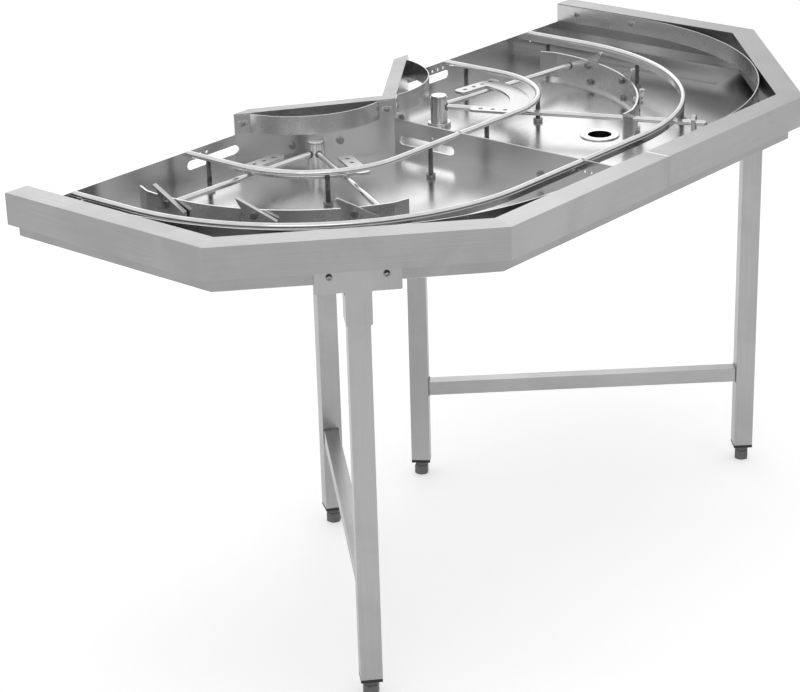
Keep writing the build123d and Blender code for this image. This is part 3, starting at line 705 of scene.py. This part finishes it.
# shares of the plate's thickness below and beside its edge, and of its outline on top
ovalLook = {"steps": 24, "below": 0.2, "side": 0.6, "top": 0.94}


def ovalPlates(name, places, body, size):
    # thin oval plates that cover the adjusting slots behind the screw heads
    length, width, thick = size
    steps = ovalLook["steps"]
    bm = bmesh.new()
    for point, facing in places:
        facing = Vector(facing).normalized()
        along = Vector((0, 0, 1)).cross(facing).normalized()
        up = facing.cross(along)
        base = Vector(point)
        outline = []
        for k in range(steps):
            angle = math.tau * (k + 0.5) / steps
            shift = math.copysign((length - width) / 2, math.cos(angle))
            outline.append(base + along * (shift + width / 2 * math.cos(angle)) + up * (width / 2 * math.sin(angle)))
        lower = [bm.verts.new(p - facing * thick * ovalLook["below"]) for p in outline]
        rim = [bm.verts.new(p + facing * thick * ovalLook["side"]) for p in outline]
        middle = sum(outline, Vector()) / len(outline)
        upper = [bm.verts.new(middle + (p - middle) * ovalLook["top"] + facing * thick) for p in outline]
        for a, b in ((lower, rim), (rim, upper)):
            for k in range(steps):
                bm.faces.new((a[k], a[(k + 1) % steps], b[(k + 1) % steps], b[k]))
        bm.faces.new(upper)
        bm.faces.new(lower[::-1])
    bmesh.ops.recalc_face_normals(bm, faces=bm.faces)
    mesh = bpy.data.meshes.new(name)
    bm.to_mesh(mesh)
    bm.free()
    plates = newPiece(name, mesh)
    smooth(plates)
    mesh.materials.append(materials["cutSheet"])
    dress(plates, body, "fasteners")


def makeScrews(node, look, body, hexHead=False):
    bolts, nuts = [], []
    nutHeight = look["nut"][1]
    for i in islandsOf(node):
        (nuts if abs(i["half"] * 2 - nutHeight) < headLook["nutTolerance"] else bolts).append(i)
    if hexHead:
        shape = hexHeadShape("head", look["head"] * headLook["hexShare"], look["height"])
    else:
        shape = buttonShape("head", look["head"], look["height"], look["socket"])
    tops = [(ends(i)[1], i["axis"]) for i in bolts]
    heads = placeFasteners(node + "_heads", shape, tops, body, "fasteners", "bolt", headLook["seed"])
    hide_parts(node)
    seats = [(top - axis * look["height"], axis) for top, axis in tops]
    tails = [(ends(i)[0], seat) for i, (seat, _) in zip(bolts, seats)]
    ripple(node + "_threads", tails, body, "fasteners", "bolt", look["shank"], threadLook["pitch"],
           threadLook["depth"], threadLook["sides"])
    if "oval" in look:
        ovalPlates(node + "_slot_plates", seats, body, look["oval"])
    if nuts:
        shape = nutShape("nut", *look["nut"], look["shank"] * threadLook["boreShare"])
        places = [(i["middle"], i["axis"]) for i in nuts]
        placeFasteners(node + "_nuts", shape, places, body, "fasteners", "bolt", headLook["nutSeed"])


for side in sides:
    makeScrews(f"{side}_guide_screws", screwLook["guide_screws"], "frame")
    makeScrews(f"{side}_bracket_bolts", screwLook["bracket_bolts"], "frame")
makeScrews("partition_bolts", screwLook["bracket_bolts"], "frame", True)
print("screws done")


# pawl bolts and their nuts ride on the carriages

pawlBoltLook = {"edge": 0.0005, "nut": (0.013, 0.006, 0.0039), "seed": 13}
for side in sides:
    rounded(f"{side}_pawl_bolts", pawlBoltLook["edge"], "bolt", "fasteners")
    shape = nutShape("pawlNut", *pawlBoltLook["nut"])
    places = [(i["middle"], i["axis"]) for i in islandsOf(f"{side}_pawl_nuts")]
    nuts = placeFasteners(f"{side}_pawl_lock_nuts", shape, places, f"{side}_carriage", "fasteners", "bolt",
                          pawlBoltLook["seed"])
    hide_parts(f"{side}_pawl_nuts")
print("pawl bolts done")


# feet

# rings are (kind, radius, height) from the floor up to the neck; from there the screw goes up into the leg
footLook = {
    "insertEdge": 0.0012, "edge": 0.0005, "edgeSegments": 2, "edgeAngle": 25, "smoothAngle": 28, "steps": 36,
    "rings": [("round", 0.0125, 0), ("hex", 0.0138, 0.0015), ("hex", 0.0136, 0.0205), ("round", 0.0118, 0.0218),
              ("hex", 0.0116, 0.0222), ("hex", 0.0116, 0.0295), ("round", 0.0100, 0.030)],
    "neck": 0.030, "sunk": 0.001, "stem": 0.0059, "pitch": 0.0016, "depth": 0.0007, "sides": 16,
}


def makeFoot(side, part):
    name = f"{side}_{part}"
    low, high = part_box(name)
    x, y = middleOf(name)
    mesh = turned(name + "_hexagon", footLook["rings"], steps=footLook["steps"])
    mesh.transform(Matrix.Translation((x, y, low[2])))
    block = newPiece(name + "_hexagon", mesh)
    breakEdges(block, footLook["edge"], footLook["edgeSegments"], footLook["edgeAngle"])
    smooth(block, footLook["smoothAngle"])
    block.data.materials.append(materials["grey"])
    dress(block, bodyOf(name), "grey_plastic", name)
    stem = [(x, y, footLook["neck"] - footLook["sunk"]), (x, y, high[2])]
    ripple(name + "_screw", [stem], bodyOf(name), "fasteners", "bolt", footLook["stem"], footLook["pitch"],
           footLook["depth"], footLook["sides"])


for side in sides:
    rounded(f"{side}_foot_inserts", footLook["insertEdge"], "black", "black_plastic")
    makeFoot(side, "inner_foot")
    makeFoot(side, "outer_foot")
print("feet done")


# weld beads where bars meet the hub and the carrier, and where the crossbars meet the legs

weldLook = {
    "radius": 0.0016, "barRadius": 0.002, "pitch": 0.003, "depth": 0.0005, "sides": 8, "steps": 24,
    "arm": 0.0064, "hub": 0.0175, "offHub": 0.0008, "carrier": 0.4052, "sameEdge": 1e-4,
}
pivotPlace = Vector((0.190, 0.274, 0.830))
firstArm = {"left": 178.5, "right": -5.5}
armSpread = 62


def armRing(side, offset, reach):
    turn = 1 if side == "left" else -1
    angle = math.radians(firstArm[side] + turn * offset)
    out = Vector((math.cos(angle), math.sin(angle), 0))
    across = Vector((-out.y, out.x, 0))
    centre = Vector((sides[side] * pivotPlace.x, pivotPlace.y, pivotPlace.z))
    ring = []
    for k in range(weldLook["steps"]):
        a = math.tau * k / weldLook["steps"]
        y, z = weldLook["arm"] * math.cos(a), weldLook["arm"] * math.sin(a)
        near = math.sqrt(reach * reach - y * y)
        ring.append(centre + out * near + across * y + Vector((0, 0, z)))
    return ring


def endCorners(name, sign):
    # the four outer corners of a square bar's end, in turn
    mesh = mergedMesh(name)
    points = np.array([v.co[:] for v in mesh.vertices])
    bpy.data.meshes.remove(mesh)
    middle = (points.max(0) + points.min(0)) / 2
    spread = np.linalg.eigh(np.cov((points - middle).T))[1]
    along = spread[:, 2] * np.sign(spread[1, 2]) * sign
    up = np.array((0, 0, 1.0))
    across = np.cross(along, up)
    corners = []
    for u, v in ((-1, -1), (1, -1), (1, 1), (-1, 1)):
        reach = (points - middle) @ across * u + (points - middle) @ up * v
        edge = points[reach > reach.max() - weldLook["sameEdge"]]
        corners.append(Vector(edge[np.argmax((edge - middle) @ along)]))
    return corners


def makeWelds(side):
    reaches = (weldLook["hub"] + weldLook["offHub"], weldLook["carrier"])
    rings = [armRing(side, offset, reach) for reach in reaches for offset in (0, armSpread)]
    ripple(f"{side}_arm_welds", rings, f"{side}_carriage", "polished_steel", "weld", weldLook["radius"],
           weldLook["pitch"], weldLook["depth"], weldLook["sides"], True)
    loops = [endCorners(f"{side}_crossbar", sign) for sign in (-1, 1)]
    ripple(f"{side}_crossbar_welds", loops, "frame", "stainless_sheet", "weld", weldLook["barRadius"],
           weldLook["pitch"], weldLook["depth"], weldLook["sides"], True)


for side in sides:
    makeWelds(side)
print("welds done")


# camera, lights, floor

# focal length in pixels of the 800 pixel wide picture
view = {
    "place": (-3.3335, -2.6227, 2.1819), "azimuth": 49.387, "elevation": 22.460, "roll": -1.646,
    "focal": 2289.59, "pictureWidth": 800, "sensor": 36, "clip": (0.1, 100),
}


def addCamera():
    az, el, roll = (math.radians(view[k]) for k in ("azimuth", "elevation", "roll"))
    forward = Vector((math.sin(az) * math.cos(el), math.cos(az) * math.cos(el), -math.sin(el)))
    right = forward.cross(Vector((0, 0, 1))).normalized()
    up = right.cross(forward)
    xAxis = right * math.cos(roll) + up * math.sin(roll)
    yAxis = -right * math.sin(roll) + up * math.cos(roll)
    data = bpy.data.cameras.new("camera")
    data.sensor_width = view["sensor"]
    data.lens = view["focal"] * view["sensor"] / view["pictureWidth"]
    data.clip_start, data.clip_end = view["clip"]
    camera = bpy.data.objects.new("camera", data)
    scene.collection.objects.link(camera)
    turn = Matrix((xAxis, yAxis, -forward)).transposed().to_4x4()
    camera.matrix_world = Matrix.Translation(view["place"]) @ turn
    scene.camera = camera


lamps = {
    "overhead": {"place": (0.3, 0.2, 4.2), "aim": (0, 0, 0.8), "size": (4.5, 3.5), "power": 46, "mirrored": False},
    "behind": {"place": (3.45, 3.65, 3.1), "aim": (0, 0, 0.9), "size": (3.2, 2.0), "power": 18},
    "front": {"place": (-3.2, -2.2, 3.2), "aim": (0, 0, 0.6), "size": (2.6, 2.0), "power": 14},
}


def addLamp(name):
    spec = lamps[name]
    data = bpy.data.lights.new(name, "AREA")
    data.shape, data.size, data.size_y, data.energy = "RECTANGLE", *spec["size"], spec["power"]
    lamp = bpy.data.objects.new(name, data)
    scene.collection.objects.link(lamp)
    lamp.visible_glossy = spec.get("mirrored", True)
    lamp.location = spec["place"]
    lamp.rotation_euler = (Vector(spec["aim"]) - Vector(spec["place"])).to_track_quat("-Z", "Y").to_euler()


studio = {
    "reach": 14, "floorTone": 0.88, "floorLift": 0.46, "floorRoughness": 0.9,
    "sky": 0.5, "horizon": 0.4, "seen": 1.0, "skyFrom": -0.1, "skyTo": 0.75,
}


def seenMask(tree):
    # 1 where the background is looked at, straight or in a reflection
    path = tree.nodes.new("ShaderNodeLightPath")
    mask = path.outputs["Is Camera Ray"]
    for label in ("Is Glossy Ray", "Is Transmission Ray"):
        more = addNode(tree, "ShaderNodeMath", operation="MAXIMUM")
        tree.links.new(mask, more.inputs[0])
        tree.links.new(path.outputs[label], more.inputs[1])
        mask = more.outputs[0]
    return mask


def addWorld():
    world = bpy.data.worlds.new("studio")
    world.use_nodes = True
    scene.world = world
    world.cycles.sampling_method = "NONE"
    tree = world.node_tree
    back = tree.nodes["Background"]
    back.inputs["Color"].default_value = (1, 1, 1, 1)
    place = tree.nodes.new("ShaderNodeTexCoord")
    split = tree.nodes.new("ShaderNodeSeparateXYZ")
    ramp = addNode(tree, "ShaderNodeMapRange", {
        "From Min": studio["skyFrom"], "From Max": studio["skyTo"],
        "To Min": studio["horizon"], "To Max": studio["sky"],
    }, interpolation_type="SMOOTHSTEP")
    mix = addNode(tree, "ShaderNodeMix", {3: studio["seen"]})
    tree.links.new(place.outputs["Generated"], split.inputs[0])
    tree.links.new(split.outputs["Z"], ramp.inputs["Value"])
    tree.links.new(seenMask(tree), mix.inputs[0])
    tree.links.new(ramp.outputs[0], mix.inputs[2])
    tree.links.new(mix.outputs[0], back.inputs["Strength"])


def addFloor():
    mesh = bpy.data.meshes.new("studioFloor")
    r = studio["reach"]
    mesh.from_pydata([(-r, -r, 0), (r, -r, 0), (r, r, 0), (-r, r, 0)], [], [(0, 1, 2, 3)])
    floor = newPiece("studioFloor", mesh)
    material = bpy.data.materials.new("paleFloor")
    material.use_nodes = True
    material.cycles.emission_sampling = "NONE"
    tree = material.node_tree
    shader = tree.nodes["Principled BSDF"]
    tone = studio["floorTone"]
    shader.inputs["Base Color"].default_value = (tone, tone, tone, 1)
    shader.inputs["Roughness"].default_value = studio["floorRoughness"]
    shader.inputs["Specular IOR Level"].default_value = 0.0
    shader.inputs["Emission Color"].default_value = (1, 1, 1, 1)
    lift = addNode(tree, "ShaderNodeMath", {1: studio["floorLift"]}, operation="MULTIPLY")
    tree.links.new(seenMask(tree), lift.inputs[0])
    tree.links.new(lift.outputs[0], shader.inputs["Emission Strength"])
    mesh.materials.append(material)


addCamera()
for name in lamps:
    addLamp(name)
addWorld()
addFloor()
scene.view_settings.view_transform = "Standard"

print("scene ready")
